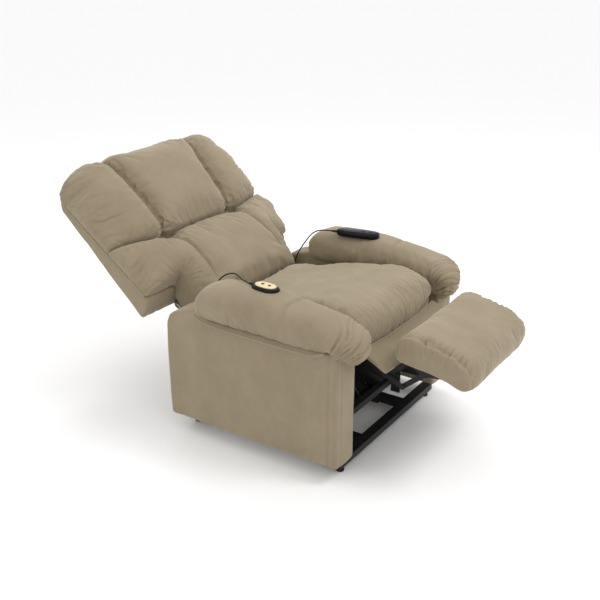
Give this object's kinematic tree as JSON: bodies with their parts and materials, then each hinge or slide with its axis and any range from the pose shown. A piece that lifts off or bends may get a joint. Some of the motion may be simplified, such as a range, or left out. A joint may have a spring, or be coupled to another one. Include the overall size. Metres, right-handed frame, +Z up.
{
  "type": "lift recliner chair",
  "caption": "Upholstered power lift recliner: reclining back, fold-out footrest and an under-seat lifting linkage that raises and tilts the whole chair.",
  "frame": {"origin": "on the floor, under the middle of the chair's overall length and width, reclined with the footrest out", "axes": "+Z up, -Y the way the chair faces, +X to the sitter's left"},
  "size_m": [0.89, 1.599, 0.8976],
  "materials": {
    "black_steel": "satin black powder coat",
    "grey_steel": "light grey zinc paint",
    "zinc_steel": "bright zinc plate",
    "glide_plastic": "matt black",
    "motor_plastic": "fine texture, charcoal",
    "wood": "raw plywood",
    "suede": "khaki microsuede, soft nap",
    "black_lining": "black spun lining",
    "handset_black": "semi-gloss black",
    "faceplate_cream": "cream",
    "key_grey": "matt dark grey",
    "cord_rubber": "matt black"
  },
  "bodies": {
    "base": {"base_side_rails": "black_steel", "base_cross_bars": "black_steel", "base_feet": "glide_plastic", "base_pivot_brackets": "black_steel", "base_pivot_pins": "zinc_steel", "lift_motor_bracket": "black_steel", "lift_motor": "motor_plastic"},
    "lift_arms": {"lift_arm_left": "black_steel", "lift_arm_right": "black_steel", "lift_torque_tube": "black_steel"},
    "lift_front_links": {"lift_links": "black_steel"},
    "lift_push_rod": {"lift_rod": "zinc_steel"},
    "chair": {"seat_side_plate_left": "black_steel", "seat_side_plate_right": "black_steel", "front_cross_tube": "grey_steel", "seat_frame": "black_steel", "lift_hanger_plates": "black_steel", "lift_hanger_pins": "zinc_steel", "back_hinge_plates": "black_steel", "back_hinge_pins": "zinc_steel", "seat_deck": "wood", "control_box": "motor_plastic", "power_inlet": "motor_plastic", "back_motor": "motor_plastic", "arm_box_left": "suede", "arm_box_right": "suede", "arm_linings": "black_lining", "arm_pad_left": "suede", "arm_pad_right": "suede", "seat_cushion": "suede", "front_apron": "suede", "lift_handset": "handset_black", "lift_strain_relief": "cord_rubber", "massage_handset": "handset_black", "massage_faceplate": "faceplate_cream", "massage_strain_relief": "cord_rubber", "lift_cord": "cord_rubber", "massage_cord": "cord_rubber", "cord_grommets": "cord_rubber"},
    "backrest": {"back_torque_tube": "black_steel", "back_brackets": "grey_steel", "back_frame": "wood", "massage_motors": "motor_plastic", "back_rear_panel": "suede", "back_wing_left": "suede", "back_wing_right": "suede", "lumbar_pillow": "suede", "head_pillow": "suede"},
    "back_push_rod": {"back_rod": "zinc_steel"},
    "footrest_links": {"footrest_main_links": "black_steel"},
    "footrest_idlers": {"footrest_idler_links": "black_steel"},
    "footrest_upper_bars": {"footrest_rear_bars": "black_steel"},
    "footrest_lower_bars": {"footrest_front_bars": "black_steel"},
    "footrest": {"footrest_brackets": "black_steel", "footrest_board": "black_lining", "footrest_pad": "suede"},
    "up_key": {"lift_key_up": "key_grey"},
    "down_key": {"lift_key_down": "key_grey"},
    "power_key": {"massage_key_power": "key_grey"},
    "mode_key": {"massage_key_mode": "key_grey"}
  },
  "joints": [
    {"name": "lift", "type": "hinge", "parent": "base", "child": "lift_arms", "pos_m": [0, -0.24204, 0.0796], "axis": [1, 0, 0], "range_deg": [0, 60]},
    {"name": "chair_tilt", "type": "hinge", "parent": "lift_arms", "child": "chair", "pos_m": [0, 0.04376, 0.1571], "axis": [1, 0, 0], "range_deg": [-31.3, 0]},
    {"name": "lift_link_swing", "type": "hinge", "parent": "base", "child": "lift_front_links", "pos_m": [0, -0.26244, 0.0602], "axis": [1, 0, 0], "range_deg": [0, 65.6]},
    {"name": "lift_rod_slide", "type": "slide", "parent": "base", "child": "lift_push_rod", "axis": [0, -1, 0], "range_m": [0, 0.0861]},
    {"name": "recline", "type": "hinge", "parent": "chair", "child": "backrest", "pos_m": [0, 0.23646, 0.345], "axis": [1, 0, 0], "range_deg": [0, 35]},
    {"name": "back_rod_slide", "type": "slide", "parent": "chair", "child": "back_push_rod", "axis": [0, 1, 0], "range_m": [0, 0.0612]},
    {"name": "footrest_fold", "type": "hinge", "parent": "chair", "child": "footrest_links", "pos_m": [0, -0.34804, 0.374], "axis": [1, 0, 0], "range_deg": [0, 78.8]},
    {"name": "footrest_idler_swing", "type": "hinge", "parent": "chair", "child": "footrest_idlers", "pos_m": [0, -0.32374, 0.3533], "axis": [1, 0, 0], "range_deg": [0, 78.9]},
    {"name": "footrest_rear_bar_swing", "type": "hinge", "parent": "footrest_links", "child": "footrest_upper_bars", "pos_m": [0, -0.47254, 0.339], "axis": [1, 0, 0], "range_deg": [-78.9, 0]},
    {"name": "footrest_front_bar_swing", "type": "hinge", "parent": "footrest_links", "child": "footrest_lower_bars", "pos_m": [0, -0.53354, 0.312], "axis": [1, 0, 0], "range_deg": [-78.9, 0]},
    {"name": "footrest_pad_swing", "type": "hinge", "parent": "footrest_upper_bars", "child": "footrest", "pos_m": [0, -0.55354, 0.408], "axis": [1, 0, 0], "range_deg": [0, 78.9]},
    {"name": "up_key_press", "type": "slide", "parent": "chair", "child": "up_key", "axis": [0, 0, -1], "range_m": [0, 0.0015], "stiffness_N_per_m": 400},
    {"name": "down_key_press", "type": "slide", "parent": "chair", "child": "down_key", "axis": [0, 0, -1], "range_m": [0, 0.0015], "stiffness_N_per_m": 400},
    {"name": "power_key_press", "type": "slide", "parent": "chair", "child": "power_key", "axis": [0, 0, -1], "range_m": [0, 0.0015], "stiffness_N_per_m": 400},
    {"name": "mode_key_press", "type": "slide", "parent": "chair", "child": "mode_key", "axis": [0, 0, -1], "range_m": [0, 0.0015], "stiffness_N_per_m": 400}
  ],
  "couplings": [
    {"joint": "chair_tilt", "follows": "lift", "ratio": -0.52004},
    {"joint": "lift_link_swing", "follows": "lift", "ratio": 1.0911},
    {"joint": "lift_rod_slide", "follows": "lift", "m_per_rad": 0.082},
    {"joint": "back_rod_slide", "follows": "recline", "m_per_rad": 0.09986},
    {"joint": "footrest_idler_swing", "follows": "footrest_fold", "ratio": 1},
    {"joint": "footrest_rear_bar_swing", "follows": "footrest_fold", "ratio": -1},
    {"joint": "footrest_front_bar_swing", "follows": "footrest_fold", "ratio": -1},
    {"joint": "footrest_pad_swing", "follows": "footrest_fold", "ratio": 1}
  ]
}
